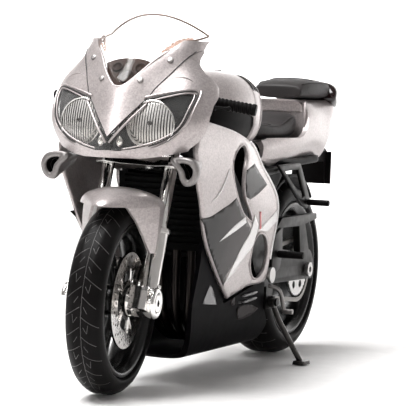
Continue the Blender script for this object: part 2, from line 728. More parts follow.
def tyre(name, node, radius, width, crown, centre, body, turn=Matrix()):
    half = width / 2
    foot = half - 0.72
    rise = radius - BEAD
    shoulder = (half - 0.02, BEAD + 0.36 * rise)
    wall = [(foot, BEAD), (foot + 0.16, BEAD + 0.35), (foot + 0.05, BEAD + 0.6),
            (half - 0.1, BEAD + 0.25 * rise), shoulder]
    tread = curve([shoulder, (half * 0.97, BEAD + 0.52 * rise), (half * 0.86, BEAD + 0.72 * rise),
                   (half * 0.62, BEAD + 0.90 * rise), (crown / 2, radius), (0.0, radius)], 6)
    place = Matrix.Translation(centre) @ turn
    rubber = lathe(doubled(curve(wall, 4)[:-1] + tread), ORIGIN, 200)
    tidy_normals(piece(name, *rubber, "tyre", body, node, turn=place))
    wall_rings = ((BEAD + 0.45, foot + 0.12, 0.09), (BEAD + 0.28 * rise, half - 0.12, 0.07))
    lines = tread_lines(tread, half, wall_rings)
    tidy_normals(piece(name + "_lines", *lines, "tyre", body, turn=place, look="sipe"))


def spoke(angle, lean):
    """One leg of a forked spoke, from the hub out to the barrel; lean is 1 or -1."""
    rings = []
    for s in range(7):
        t = s / 6
        r = 2.4 + t * 9.4
        spread = lean * (0.30 + 1.25 * t * t)
        wide = 0.72 - 0.12 * math.sin(t * math.pi)
        deep = 0.95 + 0.25 * (1 - t)
        ring = []
        for b in around(12):
            x = deep * signed_power(math.cos(b), 0.6)
            off = spread + wide * signed_power(math.sin(b), 0.6)
            ring.append(Vector((x, r * math.cos(angle) - off * math.sin(angle),
                                r * math.sin(angle) + off * math.cos(angle))))
        rings.append(ring)
    return lofted(rings)


def rim(name, node, width, hub_w, centre, body, turn=Matrix()):
    """Three-spoke cast wheel: stepped barrel, forked spokes and a hub with a bearing seat."""
    half, hub_end = width / 2, hub_w / 2
    barrel = [(half - 0.28, 12.68), (half - 0.28, 13.2), (half - 0.14, 13.32), (half, 13.2), (half, 12.6),
              (half - 0.2, 12.3), (half - 0.55, 12.0), (half - 0.75, 11.75), (half - 1.3, 11.45),
              (half * 0.3, 11.3)]
    hub = [(hub_end, 1.0), (hub_end, 1.9), (hub_end - 0.5, 2.1), (hub_end - 0.7, 2.8), (0.9, 3.0)]
    parts = [lathe(doubled(barrel), ORIGIN, 96), lathe(doubled(hub), ORIGIN, 48)]
    parts += [spoke(angle, lean) for angle in around(3) for lean in (-1, 1)]
    place = Matrix.Translation(centre) @ turn
    tidy_normals(piece(name, *joined(parts), "dark_wheel", body, node, turn=place))


def wheels():
    tyre("front_tyre_tread", "front_tyre", 16.3, 6.6, 2.4, FRONT_CENTRE, "front_wheel", WHEEL_TURN)
    tyre("rear_tyre_tread", "rear_tyre", 17.2, 10.0, 3.6, REAR_CENTRE, "rear_wheel")
    rim("front_rim_cast", "front_rim", 5.9, 4.2, FRONT_CENTRE, "front_wheel", WHEEL_TURN)
    rim("rear_rim_cast", "rear_rim", 9.3, 9.2, REAR_CENTRE, "rear_wheel")


# ---------------------------------------------------------------- side panels

SIDE_OUTLINE = [(-36.9, 47.8), (-24.0, 46.2), (-16.9, 45.0), (-9.5, 43.4), (-5.7, 41.9), (-2.0, 39.1),
                (2.3, 36.2), (5.2, 33.4), (5.9, 30.8), (5.5, 27.8), (4.9, 24.0), (5.6, 20.4), (6.2, 17.6),
                (3.6, 16.7), (-3.0, 16.6), (-9.0, 15.6), (-12.1, 14.9),
                (-19.0, 19.0), (-24.4, 22.6), (-28.4, 25.8), (-31.4, 29.4), (-33.6, 33.2), (-35.6, 36.2),
                (-37.4, 39.0), (-37.8, 42.4), (-36.9, 44.6)]
SIDE_CORNERS = (0, 12, 16, 23, 24, 25)
SLOT = [(-17.9, 42.4), (-14.4, 43.0), (-12.2, 41.2), (-13.3, 38.4), (-13.5, 35.8), (-12.2, 33.4),
        (-10.0, 31.6), (-8.2, 30.0), (-7.9, 28.9), (-12.6, 30.6), (-16.6, 33.8), (-19.6, 37.2), (-20.4, 40.2)]
WINDOW = [(-2.6, 26.5), (0.4, 25.9), (2.6, 23.9), (3.6, 21.4), (3.3, 19.1), (1.2, 17.7), (-1.9, 18.2),
          (-4.2, 20.0), (-5.3, 22.0), (-5.4, 24.1), (-4.4, 25.7)]
FADE_ZONE = [(-33.4, 30.4), (-28.5, 30.7), (-23.8, 31.8), (-20.7, 32.5), (-17.4, 33.6), (-14.6, 31.6),
             (-12.4, 30.2), (-10.6, 29.2), (-8.0, 27.6), (-8.4, 25.6), (-11.4, 23.6), (-15.6, 19.6),
             (-16.0, 17.4), (-19.0, 19.3), (-24.4, 22.9), (-28.4, 26.1), (-31.2, 29.2)]
REAR_DARK = [(-13.2, 38.4), (-7.6, 39.5), (-3.9, 37.6), (0.1, 35.4), (-5.4, 33.9), (-9.9, 33.0),
             (-12.4, 33.6), (-13.5, 36.0)]
STREAK = [(-11.6, 29.9), (-16.6, 28.5), (-22.9, 25.9), (-16.2, 27.4), (-10.8, 28.8)]
SWEEP = [(-6.8, 30.1), (-8.2, 26.9), (-11.6, 24.0), (-15.9, 18.0), (-12.3, 19.7), (-8.6, 22.6), (-5.6, 24.4),
         (-4.4, 28.1)]
UP_BAND = [(-4.2, 27.1), (0.9, 28.9), (5.2, 30.5), (5.3, 28.4), (2.5, 27.3), (0.7, 26.7), (-2.4, 27.0)]
CREASE = [(-22.5, 38.9), (-23.6, 37.3), (-25.4, 35.3), (-27.4, 34.0), (-29.4, 33.2)]
MARK = [(-4.3, 30.6), (-3.3, 30.5), (-2.6, 27.4), (-3.4, 27.2)]
# name, outline, finish, corners, lift and triangle size of each print on the flank
FLANK_PRINTS = (("fade", FADE_ZONE, "fade_print", (0, 4, 8, 11, 12, 16), 0.03, 1.0),
                ("rear", REAR_DARK, "dark_fade", (0, 1, 3, 5, 6, 7), 0.03, 1.0),
                ("streak", STREAK, "bright_print", (0, 2, 4), 0.06, 0.7),
                ("sweep", SWEEP, "bright_print", (0, 3, 7), 0.08, 0.7),
                ("band", UP_BAND, "bright_print", (0, 2, 3), 0.06, 0.7))
BELLY_OVAL = [(-4.8, 12.3), (-2.6, 12.8), (2.2, 12.6), (6.5, 11.6), (3.4, 10.6), (-0.5, 10.2), (-3.2, 10.2),
              (-4.2, 11.1)]
BELLY_WEDGE = [(-20.8, 18.0), (-18.1, 16.6), (-15.6, 14.0), (-22.4, 14.6)]
BELLY_DASH = [(-8.6, 14.3), (-6.8, 14.7), (-6.2, 13.2), (-8.2, 13.2)]
BELLY_SLATS = (((-3.2, 14.6), (4.4, 14.9)), ((-2.8, 13.4), (4.6, 13.8)))
SLAT_WIDTHS = [0.1, 0.26, 0.3, 0.32, 0.32, 0.32, 0.3, 0.26, 0.1]


def print_zone(name, surface, outline, look, step=1.0):
    skin(name, outline, (), surface, 0.04, "silver_paint", "chassis", step=step, look=look)


def flank_bead(name, side, points, lift, radius, closed=False, look=None):
    """Bead that follows the flank through (y, z) points."""
    path = [Vector((side * (flank_x(y, z) + lift), y, z)) for y, z in points]
    bar(name, path, radius, "silver_paint", "chassis", closed=closed, look=look)


def flank_trim(side, word, outline, slot, window):
    """Prints, crease and rolled edges of one flank."""
    for kind, points, look, corners, lift, step in FLANK_PRINTS:
        shape = curve(points, 4, True, corners)
        print_zone("%s_%s_print" % (word, kind), flank(side, lift), shape, look, step)
    print_zone(word + "_mark_print", flank(side, 0.09), MARK, "red_print")
    crease = curve(CREASE, 6)
    flank_bead(word + "_crease", side, crease, 0.02, swelling(len(crease), 0.05, 0.13), look="bright_print")
    flank_bead(word + "_panel_lip", side, outline[12:44], -0.08, 0.24, look="bright_print")
    flank_bead(word + "_window_lip", side, window, -0.1, 0.2, True)
    flank_bead(word + "_slot_lip", side, slot, -0.12, 0.16, True)


def belly_trim(side, word):
    """Prints and raised slats of one side of the belly pan."""
    surface = belly(side, 0.06)
    print_zone(word + "_belly_oval", surface, curve(BELLY_OVAL, 4, True, (3,)), "grey_print", 0.7)
    print_zone(word + "_belly_wedge", surface, BELLY_WEDGE, "belly_print")
    print_zone(word + "_belly_dash", surface, BELLY_DASH, "grey_print")
    raised = belly(side, 0.12)
    last = len(SLAT_WIDTHS) - 1
    for k, ((y0, z0), (y1, z1)) in enumerate(BELLY_SLATS):
        slat = [raised(y0 + (y1 - y0) * j / last, z0 + (z1 - z0) * j / last, 0.0) for j in range(last + 1)]
        bar("%s_belly_slat_%d" % (word, k), slat, SLAT_WIDTHS, "black_gloss", "chassis", look="belly_print")


def side_panels():
    outline = curve(SIDE_OUTLINE, 4, True, SIDE_CORNERS)
    slot = curve(SLOT, 4, True)
    window = curve(WINDOW, 3, True)
    for side, word in SIDES:
        skin(word + "_panel", outline, (slot, window), flank(side), 0.7, "silver_paint", "chassis",
             word + "_side_fairing", 0.9, round_edge=0.14)
        flank_trim(side, word, outline, slot, window)
        belly_trim(side, word)


# ---------------------------------------------------------------- nose, lamps and screen

def nose_bar(name, points, radius, look, lift):
    """Thin bead that follows the nose surface through (x, z) points."""
    path = [on_nose(x, z, lift) for x, z in points]
    return bar(name, path, radius, "silver_paint", "chassis", look=look)


def both_ways(points):
    return [(-x, z) for x, z in reversed(points) if abs(x) > 1e-6] + list(points)


def shrunk(points, centre, gap):
    out = []
    for x, z in points:
        reach = math.hypot(x - centre[0], z - centre[1])
        k = (reach - gap) / reach
        out.append((centre[0] + (x - centre[0]) * k, centre[1] + (z - centre[1]) * k))
    return out


LAMP_CENTRE = (6.5, 47.0)
GLASS_CENTRE = (6.5, 46.5)
GLASS_RADIUS = 3.95


def glass_y(x, z, back):
    """Depth of the lamp glass: flatter than the nose in front of it, and back behind it."""
    return nose_y(x, z) * 0.45 + nose_y(*GLASS_CENTRE) * 0.55 + back


def lamp_glass(side):
    """Thin round plate, bulged and moulded in upright flutes."""
    cx, cz = GLASS_CENTRE
    half = GLASS_RADIUS
    columns, rows = 70, 14
    verts, faces = [], []
    for layer in (0.0, 0.35):
        for i in range(columns + 1):
            u = -1 + 2 * i / columns
            x = cx + u * half
            tall = half * math.sqrt(max(0.0, 1 - u * u)) + 0.02
            for j in range(rows + 1):
                z = cz - tall + 2 * tall * j / rows
                ridge = 0.06 * math.sin(2 * math.pi * (x - cx) / FLUTE_PITCH)
                bulge = 0.5 * (1 - ((x - cx) ** 2 + (z - cz) ** 2) / half**2)
                y = glass_y(x, z, 0.95) - bulge - ridge + layer
                verts.append(Vector((side * x, y, z)))
    size = (columns + 1) * (rows + 1)
    for i in range(columns):
        for j in range(rows):
            a = i * (rows + 1) + j
            quad = (a, a + rows + 1, a + rows + 2, a + 1)
            faces += [quad, tuple(size + k for k in reversed(quad))]
    for i in range(columns):
        for j, flip in ((0, 1), (rows, -1)):
            a = i * (rows + 1) + j
            quad = (a, size + a, size + a + rows + 1, a + rows + 1)
            faces.append(quad if flip > 0 else tuple(reversed(quad)))
    return verts, faces


def fluted_lamp(side, word):
    """Fluted glass behind the clear lens, with a rim round it and a bulb showing in the middle."""
    cx, cz = GLASS_CENTRE
    tidy_normals(piece(word + "_lamp_flutes", *lamp_glass(side), "reflector", "chassis", look="flutes"))
    ring = circle_points(cx, cz, GLASS_RADIUS + 0.08, 56)
    ring = [Vector((side * x, glass_y(x, z, 0.85), z)) for x, z in ring]
    bar(word + "_lamp_rim", ring, 0.16, "reflector", "chassis", closed=True, look="chrome")
    y = nose_y(cx, cz) + 0.38
    bulb = [(0.0, 0.02), (0.02, 0.30), (0.12, 0.42), (0.25, 0.46), (0.4, 0.46)]
    rings = [[Vector((x, y + depth, z)) for x, z in circle_points(side * cx, cz + 0.2, r, 20)]
             for depth, r in bulb]
    tidy_normals(piece(word + "_lamp_bulb", *lofted(rings), "reflector", "chassis", look="seam"))


def lamp_pocket(side, word):
    """Dark wall behind the lamp, a little larger than its opening."""
    outline = [(side * max(0.0, x), z) for x, z in shrunk(LAMP, LAMP_CENTRE, -0.8)]

    def wall(x, z, depth):
        return Vector((x, nose_y(x, z) + 1.9 + depth, z))

    skin(word + "_lamp_pocket", outline, [], wall, 0.3, "black_plastic", "chassis", step=1.0)


def nose_side(side, word):
    """Seams, lips and beads of one half of the nose."""
    def on_side(points):
        return [(side * x, z) for x, z in points]

    lamp_edge = curve(LAMP[1:11], 5)
    nose_bar(word + "_lamp_seam", on_side(lamp_edge), 0.15, "seam", 0.10)
    for lip, gap, radius in (("_lamp_lip", -0.46, 0.22), ("_lamp_lip_inner", 0.42, 0.13)):
        nose_bar(word + lip, on_side(shrunk(lamp_edge, LAMP_CENTRE, gap)), radius, "silver_paint", 0.04)
    nose_bar(word + "_v_seam", on_side(curve(V_OUTER[:6], 6)), 0.10, "seam", 0.02)
    bead = curve([(0.3, 43.15), (2.9, 46.6), (5.6, 50.0)], 6)
    nose_bar(word + "_v_bead", on_side(bead), 0.20, "silver_paint", 0.06)
    brow = curve([(6.9, 53.4), (9.0, 54.6), (11.2, 54.3), (13.1, 52.6)], 6)
    nose_bar(word + "_brow_crease", on_side(brow), swelling(len(brow), 0.02, 0.10), "silver_paint", 0.0)


def nose_details():
    for side, word in SIDES:
        lamp_pocket(side, word)
        fluted_lamp(side, word)
        nose_side(side, word)
    chin = curve(both_ways([(0, 41.45), (2.2, 41.35), (4.8, 41.8), (7.8, 42.7), (10.3, 44.2)]), 5)
    nose_bar("chin_crease", chin, 0.12, "silver_paint", 0.0)
    notch = curve(both_ways([(0, 52.7), (1.2, 53.1), (3.1, 55.1), (4.9, 57.4), (6.7, 59.2)]), 5)
    nose_bar("v_notch_bead", notch, 0.17, "silver_paint", 0.02)


def position_lamps():
    """Two small domed pods under the tip of the V panel."""
    cx, cz, rx, rz = 1.75, 43.4, 0.62, 0.95
    y = nose_y(cx, cz) + 0.9
    pods = []
    for side in (1, -1):
        rings = []
        for i in range(7):
            u = math.pi / 2 * i / 6
            rings.append([Vector((side * cx + rx * math.cos(a) * math.cos(u), y - 0.45 * math.sin(u),
                                  cz + rz * math.sin(a) * math.cos(u) + 0.02)) for a in around(20)])
        pods.append(lofted(rings))
    tidy_normals(piece("position_lamps", *joined(pods), "reflector", "chassis", look="chrome"))


# the screen's own axes, and its rows of (distance up, half width, edge height, crown height)
SCREEN_FOOT = Vector((0, -41.75, 53.2))
SCREEN_RISE = Vector((0, 0.776, 0.63))
SCREEN_OUT = Vector((0, -0.63, 0.776))
SCREEN = [(0.6, 0.7, 0.25, 0.35), (3.0, 2.7, 0.35, 0.95), (6.0, 4.5, 0.85, 2.1), (9.0, 6.2, 0.85, 2.9),
          (11.3, 7.4, 0.35, 3.1), (15.0, 8.9, -1.6, 2.5), (18.6, 9.4, -3.6, 1.0)]


def screen_point(s, u, lift=0.0):
    rows = [[row[k] for row in SCREEN] for k in range(4)]
    half, edge, crown = (hermite(rows[0], rows[k], s) for k in (1, 2, 3))
    return SCREEN_FOOT + SCREEN_RISE * s + SCREEN_OUT * (edge + (crown - edge) * (1 - u * u) + lift) \
        + Vector((u * half, 0, 0))


def screen_details():
    """Rolled edge round the screen and the thick clear flanges where it is glued to the V panel."""
    left = [screen_point(s / 2, 1.0, -0.2) for s in range(22, 38)]
    top = [screen_point(18.55, u / 8, -0.2) for u in range(8, -9, -1)]
    right = [screen_point(s / 2, -1.0, -0.2) for s in range(37, 21, -1)]
    bar("screen_rim", left + top[1:-1] + right, 0.2, "clear_screen", "chassis", look="screen_edge")
    for side, word in SIDES:
        path, widths = [], []
        for k in range(26):
            s = 7.6 + k * 0.26
            ripple = 0.10 * math.sin(k * 1.9) + 0.05 * math.sin(k * 4.3)
            path.append(screen_point(s, side * (0.985 + 0.01 * math.sin(k * 2.7)), 0.05))
            widths.append(max(0.12, 0.46 * math.sin(math.pi * (k + 1) / 27) ** 0.5 + ripple))
        bar(word + "_screen_flange", path, widths, "clear_screen", "chassis", look="flange", sides=10)


def dash_details():
    """Three round dials on the gauge hood behind the screen."""
    tilt = Matrix.Translation(Vector((0, -38.0, 54.4))) @ Matrix.Rotation(math.radians(-35), 4, "X")
    parts = []
    for cx, cz, r in ((0.0, -0.5, 1.35), (-2.15, 1.35, 0.95), (2.15, 1.35, 0.95)):
        profile = [(0.0, r), (-0.22, r), (-0.3, r - 0.12), (-0.22, r - 0.25), (-0.1, r - 0.28), (-0.1, 0.02)]
        rings = [[tilt @ Vector((x, depth - 0.82, z)) for x, z in circle_points(cx, cz, radius, 32)]
                 for depth, radius in profile]
        parts.append(lofted(rings))
    tidy_normals(piece("dash_dials", *joined(parts), "brown_gloss", "chassis", look="dial"))


# ---------------------------------------------------------------- intakes

MOUTH = [(9.6, 40.9), (11.6, 41.2), (13.8, 40.7), (14.8, 39.3), (14.6, 37.6), (13.7, 36.5), (12.4, 36.2),
         (11.5, 37.2), (11.0, 38.7), (9.9, 39.8)]
HOLE = [(11.1, 40.2), (12.9, 40.1), (13.9, 39.1), (13.8, 37.9), (13.1, 37.1), (12.5, 37.5), (12.1, 38.8)]


def evenly(loop, count, start):
    """The loop resampled at equal steps, beginning beside the start point."""
    points = [Vector(p) for p in loop]
    first = min(range(len(points)), key=lambda k: (points[k] - Vector(start)).length)
    points = points[first:] + points[:first]
    lengths = [(points[(k + 1) % len(points)] - p).length for k, p in enumerate(points)]
    total, out, k, gone = sum(lengths), [], 0, 0.0
    for i in range(count):
        want = total * i / count
        while gone + lengths[k] < want:
            gone += lengths[k]
            k += 1
        out.append(points[k].lerp(points[(k + 1) % len(points)], (want - gone) / lengths[k]))
    return out


def toward(loop, centre, k):
    c = Vector(centre)
    return [c + (p - c) * k for p in loop]


def standing(loop, side, y):
    """Loop of (x, z) points stood up at depth y."""
    return [Vector((side * p.x, y, p.y)) for p in loop]


def intakes():
    outer = evenly(curve(MOUTH, 6, True), 44, (10.0, 41.0))
    hole = evenly(curve(HOLE, 6, True), 44, (11.0, 40.3))
    centre, back = (12.7, 38.9), (11.4, 40.6)
    # loop, the point it shrinks toward, its share of full size, and y, from the throat out and back in
    horn = ((hole, centre, 0.7, -38.6), (hole, centre, 0.84, -39.4), (hole, centre, 0.86, -40.8),
            (hole, centre, 0.98, -41.0), (outer, centre, 0.93, -41.0), (outer, centre, 0.985, -40.75),
            (outer, centre, 1.0, -40.0), (outer, back, 0.84, -38.6), (outer, back, 0.62, -36.5),
            (outer, back, 0.40, -34.0))
    lining = ((0.87, -40.72), (0.82, -40.62), (0.80, -39.0), (0.5, -38.9), (0.5, -38.7), (0.86, -38.8))
    n = len(hole)
    for side, word in SIDES:
        rings = [standing(toward(loop, point, share), side, y) for loop, point, share, y in horn]
        tidy_normals(piece(word + "_intake_horn", *lofted(rings), "silver_paint", "chassis", word + "_intake",
                           look="intake_face"))
        rings = [standing(toward(hole, centre, share), side, y) for share, y in lining]
        verts, faces = lofted(rings, looped=True)
        faces += [tuple(range(3 * n, 4 * n)), tuple(reversed(range(4 * n, 5 * n)))]
        tidy_normals(piece(word + "_intake_lining", verts, faces, "silver_paint", "chassis",
                           look="black_plastic"))


# ---------------------------------------------------------------- tank

# y, half width, low and high of the tank's sections
TANK = [(-17.6, 3.6, 45.8, 51.4), (-14.0, 6.6, 42.6, 53.8), (-7.0, 8.4, 41.4, 55.8), (2.0, 8.4, 41.4, 55.8),
        (8.0, 7.0, 42.6, 54.2), (11.6, 5.4, 44.0, 51.0)]


def tank_section(y):
    """Half width, low and high at y."""
    ys = [row[0] for row in TANK]
    return [hermite(ys, [row[k] for row in TANK], y) for k in (1, 2, 3)]


def tank_point(y, a, grow=0.0):
    half, low, top = tank_section(y)
    x = (half + grow) * signed_power(math.cos(a), 2 / 2.6)
    z = (top + low) / 2 + ((top - low) / 2 + grow) * signed_power(math.sin(a), 2 / 2.6)
    return Vector((x, y, z))


def tank_shell(ys):
    """Painted upper shell; its lower edge slopes down along the seam and then wraps under behind the knee."""
    across, low_angle = 48, math.radians(-80)
    verts, faces = [], []
    for y in ys:
        edge = 51.6 - 3.9 * (y + 16) / 16.5
        _, low, top = tank_section(y)
        t = max(-0.98, min(0.98, (edge - (top + low) / 2) / ((top - low) / 2)))
        start = math.asin(signed_power(t, 1.3))
        drop = min(1.0, max(0.0, (y - 0.2) / 1.1))
        start += (low_angle - start) * drop * drop * (3 - 2 * drop)
        verts += [tank_point(y, start + (math.pi - 2 * start) * k / across, -0.1) for k in range(across + 1)]
    for i in range(len(ys) - 1):
        for k in range(across):
            a = i * (across + 1) + k
            faces.append((a, a + 1, a + across + 2, a + across + 1))
    obj = piece("tank_shell", verts, faces, "silver_paint", "chassis", "fuel_tank")
    solid = obj.modifiers.new("wall", "SOLIDIFY")
    solid.thickness = 0.32 * MM
    solid.offset = 1.0
    applied(tidy_normals(obj))


def tank_bead(name, side, spots, lift, radius, look=None):
    """Bead on the tank through (y, angle) spots."""
    path = []
    for y, a in spots:
        p = tank_point(y, a, lift)
        path.append(Vector((side * p.x, p.y, p.z)))
    bar(name, path, radius, "silver_paint", "chassis", look=look)


def tank():
    rows, front, length = 90, TANK[0][0], TANK[-1][0] - TANK[0][0]
    ys = [front + length * i / (rows - 1) for i in range(rows)]
    core = [[tank_point(y, a, -0.12) for a in around(72)] for y in ys]
    tidy_normals(piece("tank_base", *lofted(core), "silver_paint", "chassis", "fuel_tank",
                       look="black_plastic"))
    tank_shell(ys)
    slat_widths = [0.12] + [0.30] * 7 + [0.12]
    for side, word in SIDES:
        for k in range(5):
            slat = [(0.4 + 1.35 * k + 0.12 * j, math.radians(64 - 4.6 * j)) for j in range(9)]
            tank_bead("%s_tank_slat_%d" % (word, k), side, slat, 0.16, slat_widths, "dark_print")
        knee = [(8.3 - 3.2 * math.sin(math.radians(min(90, 5.5 * j))), math.radians(58 - 5.0 * j))
                for j in range(22)]
        tank_bead(word + "_tank_edge", side, knee, 0.18, 0.2)


# ---------------------------------------------------------------- seats

SEAT_START = 0.965      # size of the pad before it is puffed, as a share of the CAD seat
SEAT_GRAIN = 0.42 * MM
SEAT_HELD = 0.8 * MM    # height above the pad's base that the frame holds still
SEAT_SWELL = 3.0
SEAT_REACH = 0.35 * MM  # furthest that any spot may move
CLOTH_FRAMES = 20
SEAM_LIFT = 0.05


def puffed(obj):
    """Swell the cover with a short cloth run under pressure, its base held."""
    before = [v.co.copy() for v in obj.data.vertices]
    group = obj.vertex_groups.new(name="held")
    floor = min(c.z for c in before) + SEAT_HELD
    group.add([i for i, c in enumerate(before) if c.z < floor], 1.0, "REPLACE")
    cloth = obj.modifiers.new("cloth", "CLOTH")
    cloth.settings.use_pressure = True
    cloth.settings.uniform_pressure_force = SEAT_SWELL
    cloth.settings.effector_weights.gravity = 0.0
    cloth.settings.quality = 4
    cloth.settings.mass = 0.3
    cloth.settings.vertex_group_mass = "held"
    cloth.point_cache.frame_start = 1
    cloth.point_cache.frame_end = CLOTH_FRAMES
    for frame_number in range(1, CLOTH_FRAMES + 1):
        bpy.context.scene.frame_set(frame_number)
    shown = obj.evaluated_get(bpy.context.evaluated_depsgraph_get())
    after = [v.co.copy() for v in shown.to_mesh().vertices]
    obj.modifiers.clear()
    bpy.context.scene.frame_set(1)
    if len(after) == len(before):
        for v, old, new in zip(obj.data.vertices, before, after):
            move = new - old
            if move.length > SEAT_REACH:
                move = move.normalized() * SEAT_REACH
            v.co = old + move


def seat(name, node):
    """Foam pad under a vinyl cover that starts a little small."""
    obj = bpy.data.objects.new(name, NODES[node].data.copy())
    bpy.context.collection.objects.link(obj)
    low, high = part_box(node)
    centre = (Vector(low) + Vector(high)) / 2
    for v in obj.data.vertices:
        v.co = centre + (v.co - centre) * SEAT_START
    remesh = obj.modifiers.new("even", "REMESH")
    remesh.mode = "VOXEL"
    remesh.voxel_size = SEAT_GRAIN
    remesh.use_smooth_shade = True
    applied(obj)
    puffed(obj)
    smooth = obj.modifiers.new("smooth", "SUBSURF")
    smooth.levels = 1
    smooth.render_levels = 1
    applied(obj)
    refinished(obj, "seat_vinyl")
    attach(obj, "chassis")
    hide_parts(node)
    return obj


def nearest(tree, point):
    """Closest spot on the pad, lifted off it a little."""
    spot, normal, _, _ = tree.find_nearest(Vector(point) * MM)
    return (spot + normal * SEAM_LIFT * MM) / MM


def pad_seams(pad, edge, bulge, start, step, height, climb, count, cross):
    """Seam along each edge of a pad, bowed out by bulge, and one across it."""
    tree = BVHTree.FromObject(pad, bpy.context.evaluated_depsgraph_get())
    seams = []
    for side in (1, -1):
        line = [nearest(tree, (side * (edge + bulge * math.sin(math.pi * k / (count - 1))), start + k * step,
                               height + climb * k)) for k in range(count)]
        seams.append(sweep_tube(line, 0.12, 8))
    half, y, z = cross
    seams.append(sweep_tube([nearest(tree, (-half + 2 * half * k / 12, y, z)) for k in range(13)], 0.1, 8))
    return seams


def seats():
    rider = seat("rider_pad", "rider_seat")
    pillion = seat("passenger_pad", "passenger_seat")
    seams = pad_seams(pillion, 4.9, 0.7, 36.5, 1.15, 54.9, 0.0, 17, (4.9, 43.0, 56.5))
    seams += pad_seams(rider, 4.7, 0.9, 13.5, 1.3, 46.6, 0.08, 15, (4.6, 21.0, 48.5))
    tidy_normals(piece("seat_seams", *joined(seams), "seat_vinyl", "chassis"))


# ---------------------------------------------------------------- brakes

def circle_points(cx, cy, r, count):
    return [(cx + r * math.cos(a), cy + r * math.sin(a)) for a in around(count)]


def drilled_disc(outer, inner, x, thick, rows, per_row, arms, hub):
    """Rotor with rows of holes, arms to a centre ring, and buttons where they meet."""
    outline = circle_points(0, 0, outer, 96)
    holes = [circle_points(0, 0, inner, 64)]
    for row, r in enumerate(rows):
        for k in range(per_row):
            a = 2 * math.pi * (k + 0.5 * (row % 2) + 0.15 * row) / per_row
            holes.append(circle_points(r * math.cos(a), r * math.sin(a), 0.27, 10))
    flat, faces = filled(outline, holes, 0.9)
    verts = [Vector((at, p[0], p[1])) for at in (x, x + thick) for p in flat]
    centre_ring = [(x, hub - 0.7), (x, hub), (x + thick, hub), (x + thick, hub - 0.7)]
    parts = [(verts, two_sided(faces, len(flat))[0]), lathe(centre_ring, ORIGIN, 48)]
    middle, foot, tip = x + thick / 2, hub - 0.3, inner + 0.25
    for a in around(arms):
        for spread in (-0.17, 0.17):
            start = Vector((middle, foot * math.cos(a), foot * math.sin(a)))
            end = Vector((middle, tip * math.cos(a + spread), tip * math.sin(a + spread)))
            parts.append(sweep_tube([start, start.lerp(end, 0.5), end], 0.3, 8))
            button = [(end.x - 0.32, 0.02), (end.x - 0.3, 0.34), (end.x + 0.3, 0.34), (end.x + 0.32, 0.02)]
            parts.append(lathe(button, Vector((0, end.y, end.z)), 14))
    return joined(parts)


def brakes():
    left = drilled_disc(8.3, 5.2, 2.25, 0.4, (5.95, 6.75, 7.55), 18, 5, 3.4)
    pair = joined([left, mirrored(left)])
    tidy_normals(piece("front_disc_rotors", *pair, "disc_metal", "front_wheel", "front_discs", False,
                       turn=Matrix.Translation(FRONT_CENTRE) @ WHEEL_TURN))
    rear = mirrored(drilled_disc(6.1, 3.6, 5.35, 0.4, (4.3, 5.2), 18, 4, 2.6))
    tidy_normals(piece("rear_disc_rotor", *rear, "disc_metal", "rear_wheel", "rear_disc", False,
                       turn=Matrix.Translation(REAR_CENTRE)))


# ---------------------------------------------------------------- castings and the dark middle

def softened(node, body, width, look=None):
    """Casting with rounded edges in place of a sharp-edged node."""
    slot = next(entry["material_slot"] for entry in RECORD["subparts"] if entry["node"] == node)
    source = NODES[node]
    obj = bpy.data.objects.new(node + "_cast", source.data.copy())
    obj.matrix_world = source.matrix_world.copy()
    bpy.context.collection.objects.link(obj)
    work = bmesh.new()
    work.from_mesh(obj.data)
    bmesh.ops.remove_doubles(work, verts=work.verts, dist=0.002 * MM)
    bmesh.ops.dissolve_limit(work, angle_limit=math.radians(2), verts=work.verts, edges=work.edges)
    work.to_mesh(obj.data)
    work.free()
    bevel = obj.modifiers.new("edges", "BEVEL")
    bevel.width = width * MM
    bevel.segments = 3
    bevel.limit_method = "ANGLE"
    bevel.angle_limit = math.radians(32)
    bevel.use_clamp_overlap = True
    applied(obj)
    refinished(obj, look or slot)
    obj.data.set_sharp_from_angle(angle=math.radians(50))
    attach(obj, body)
    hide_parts(node)
    return obj


def castings():
    softened("fairing_screws", "chassis", 0.15, look="intake_face")
    for node, body, width in (("front_calipers", "fork_lower", 0.25), ("fork_sliders", "fork_lower", 0.2),
                              ("swingarm", "swingarm", 0.3), ("peg_brackets", "chassis", 0.2),
                              ("engine_covers", "chassis", 0.3), ("rear_caliper", "swingarm", 0.25),
                              ("clip_ons", "steering", 0.15), ("switch_boxes", "steering", 0.2),
                              ("side_stand", "side_stand", 0.2), ("rear_fender", "chassis", 0.4),
                              ("shift_lever", "chassis", 0.12), ("brake_pedal", "chassis", 0.12),
                              ("levers", "steering", 0.1), ("foot_pegs", "chassis", 0.15),
                              ("upper_clamp", "steering", 0.2), ("lower_clamp", "steering", 0.2),
                              ("muffler", "chassis", 0.15), ("fuel_cap", "chassis", 0.1),
                              ("tail_light", "chassis", 0.2), ("crankcase", "chassis", 0.3),
                              ("cylinder_block", "chassis", 0.2), ("cylinder_head", "chassis", 0.2),
                              ("subframe", "chassis", 0.15), ("shock_body", "chassis", 0.15)):
        softened(node, body, width)


